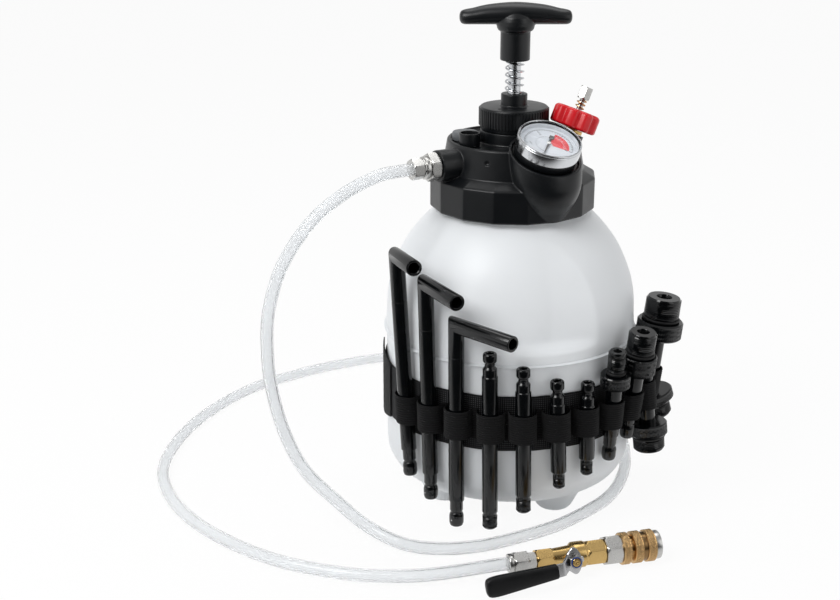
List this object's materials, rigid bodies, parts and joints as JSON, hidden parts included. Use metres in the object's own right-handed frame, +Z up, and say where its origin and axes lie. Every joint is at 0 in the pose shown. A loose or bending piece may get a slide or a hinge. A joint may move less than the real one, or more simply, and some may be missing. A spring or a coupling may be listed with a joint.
{
  "type": "gear oil filler pump",
  "caption": "Hand-pumped pressure bottle with gauge and relief knob, an outlet hose with ball valve and quick coupler, and a belt of screw-in and angled filler adapters.",
  "frame": {"origin": "middle of the footprint of the bottle, head and adapters, without the hose and what it carries, on the surface that the bottle stands on", "axes": "+Z up along the pump rod, -Y to the front, where the gauge leans, +X to the right seen from the front"},
  "size_m": [0.4465, 0.4925, 0.4053],
  "materials": {
    "milky_plastic": "satin, milky translucent, blow moulded",
    "black_plastic": "satin moulded",
    "grey_plastic": "satin moulded",
    "red_plastic": "glossy moulded",
    "clear_plastic": "clear drawn tube",
    "hose_plastic": "smooth, milky clear, flexible",
    "gauge_glass": "clear window",
    "white_enamel": "matt white dial",
    "chrome": "bright polished",
    "nickel": "turned and nickel plated",
    "steel": "bright plated",
    "brass": "turned, bare",
    "black_steel": "glossy black coated steel",
    "black_rubber": "matt moulded",
    "black_webbing": "woven elastic webbing"
  },
  "bodies": {
    "base": {"bottle": "milky_plastic", "head_body": "black_plastic", "head_gasket": "black_rubber", "pickup_tube": "clear_plastic", "safety_cap": "grey_plastic", "gauge_case": "chrome", "gauge_bezel": "chrome", "gauge_lens": "gauge_glass", "gauge_dial": "white_enamel", "gauge_stem": "brass", "relief_valve": "brass", "outlet_fitting": "nickel", "outlet_nut": "nickel", "hose": "hose_plastic", "valve_hose_nut": "nickel", "valve_tail": "nickel", "valve_body": "brass", "valve_end": "nickel", "coupler_body": "brass", "coupler_ring": "brass", "belt_strap": "black_webbing", "belt_loops": "black_webbing", "belt_fastener": "black_webbing"},
    "cap_and_barrel": {"pump_cap": "black_plastic", "pump_barrel": "black_plastic", "foot_valve": "black_rubber", "pump_spring": "steel"},
    "plunger": {"pump_rod": "steel", "piston": "black_plastic", "piston_seal": "black_rubber"},
    "handle": {"t_handle": "black_plastic"},
    "plug": {"port_plug": "black_plastic"},
    "needle": {"gauge_needle": "black_plastic"},
    "knob": {"relief_knob": "red_plastic", "relief_spring": "brass"},
    "bleed_pin": {"relief_pin": "nickel"},
    "lever": {"valve_ball": "chrome", "valve_stem": "brass", "valve_lever": "steel", "lever_grip": "black_rubber", "lever_nut": "nickel"},
    "sleeve": {"coupler_sleeve": "brass"},
    "angled_1": {"adapter_angled_1": "black_steel"},
    "angled_2": {"adapter_angled_2": "black_steel"},
    "angled_3": {"adapter_angled_3": "black_steel"},
    "straight_1": {"adapter_straight_1": "black_steel"},
    "straight_2": {"adapter_straight_2": "black_steel"},
    "straight_3": {"adapter_straight_3": "black_steel"},
    "straight_4": {"adapter_straight_4": "black_steel"},
    "threaded_1": {"adapter_threaded_1": "black_steel", "adapter_seal_1": "black_rubber"},
    "threaded_2": {"adapter_threaded_2": "black_steel", "adapter_seal_2": "black_rubber"},
    "threaded_3": {"adapter_threaded_3": "black_steel", "adapter_seal_3": "black_rubber"},
    "threaded_4": {"adapter_threaded_4": "black_steel", "adapter_seal_4": "black_rubber"},
    "threaded_5": {"adapter_threaded_5": "black_steel", "adapter_seal_5": "black_rubber"}
  },
  "joints": [
    {"name": "cap_turn", "type": "hinge", "parent": "base", "child": "cap_and_barrel", "pos_m": [-0.01894, 0.02174, 0.3145], "axis": [0, 0, 1], "continuous": true},
    {"name": "pump_slide", "type": "slide", "parent": "cap_and_barrel", "child": "plunger", "axis": [0, 0, 1], "range_m": [0, 0.14]},
    {"name": "handle_turn", "type": "hinge", "parent": "plunger", "child": "handle", "pos_m": [-0.01894, 0.02174, 0.36], "axis": [0, 0, 1], "continuous": true},
    {"name": "plug_turn", "type": "hinge", "parent": "base", "child": "plug", "pos_m": [-0.05454, 0.00224, 0.3], "axis": [0, 0, 1], "continuous": true},
    {"name": "needle_turn", "type": "hinge", "parent": "base", "child": "needle", "pos_m": [0.00606, -0.03106, 0.3091], "axis": [0.1935, -0.3505, 0.9164], "range_deg": [-270, 0], "stiffness_Nm_per_rad": 0.0005},
    {"name": "knob_turn", "type": "hinge", "parent": "base", "child": "knob", "pos_m": [0.02716, 0.02044, 0.3059], "axis": [0.3547, 0.1677, 0.9198], "continuous": true},
    {"name": "pin_slide", "type": "slide", "parent": "knob", "child": "bleed_pin", "axis": [0.3547, 0.1677, 0.9198], "range_m": [0, 0.003], "stiffness_N_per_m": 300},
    {"name": "lever_turn", "type": "hinge", "parent": "base", "child": "lever", "pos_m": [0.01856, -0.14296, 0.0123], "axis": [0.2491, -0.9495, 0.1908], "range_deg": [-90, 0]},
    {"name": "sleeve_slide", "type": "slide", "parent": "base", "child": "sleeve", "axis": [0.9673, 0.2538, 0], "range_m": [-0.0024, 0], "stiffness_N_per_m": 800},
    {"name": "angled_1_slide", "type": "slide", "parent": "base", "child": "angled_1", "axis": [-0.0586, 0.0714, 0.9957], "range_m": [0, 0.04]},
    {"name": "angled_2_slide", "type": "slide", "parent": "base", "child": "angled_2", "axis": [-0.0257, 0.0198, 0.9995], "range_m": [0, 0.04]},
    {"name": "angled_3_slide", "type": "slide", "parent": "base", "child": "angled_3", "axis": [-0.0089, 0.0041, 1], "range_m": [0, 0.04]},
    {"name": "straight_1_slide", "type": "slide", "parent": "base", "child": "straight_1", "axis": [-0.0153, 0.0029, 0.9999], "range_m": [0, 0.04]},
    {"name": "straight_2_slide", "type": "slide", "parent": "base", "child": "straight_2", "axis": [-0.0234, -0.0011, 0.9997], "range_m": [0, 0.04]},
    {"name": "straight_3_slide", "type": "slide", "parent": "base", "child": "straight_3", "axis": [-0.046, -0.0141, 0.9988], "range_m": [0, 0.04]},
    {"name": "straight_4_slide", "type": "slide", "parent": "base", "child": "straight_4", "axis": [-0.0233, -0.0137, 0.9996], "range_m": [0, 0.04]},
    {"name": "threaded_1_slide", "type": "slide", "parent": "base", "child": "threaded_1", "axis": [0.0208, -0.1235, 0.9921], "range_m": [0, 0.04]},
    {"name": "threaded_2_slide", "type": "slide", "parent": "base", "child": "threaded_2", "axis": [0.0845, -0.1083, 0.9905], "range_m": [0, 0.04]},
    {"name": "threaded_3_slide", "type": "slide", "parent": "base", "child": "threaded_3", "axis": [0.0985, -0.0349, -0.9945], "range_m": [0, 0.035]},
    {"name": "threaded_4_slide", "type": "slide", "parent": "base", "child": "threaded_4", "axis": [0.104, -0.01, 0.9945], "range_m": [0, 0.04]},
    {"name": "threaded_5_slide", "type": "slide", "parent": "base", "child": "threaded_5", "axis": [0.2884, 0.0483, -0.9563], "range_m": [0, 0.035]}
  ]
}
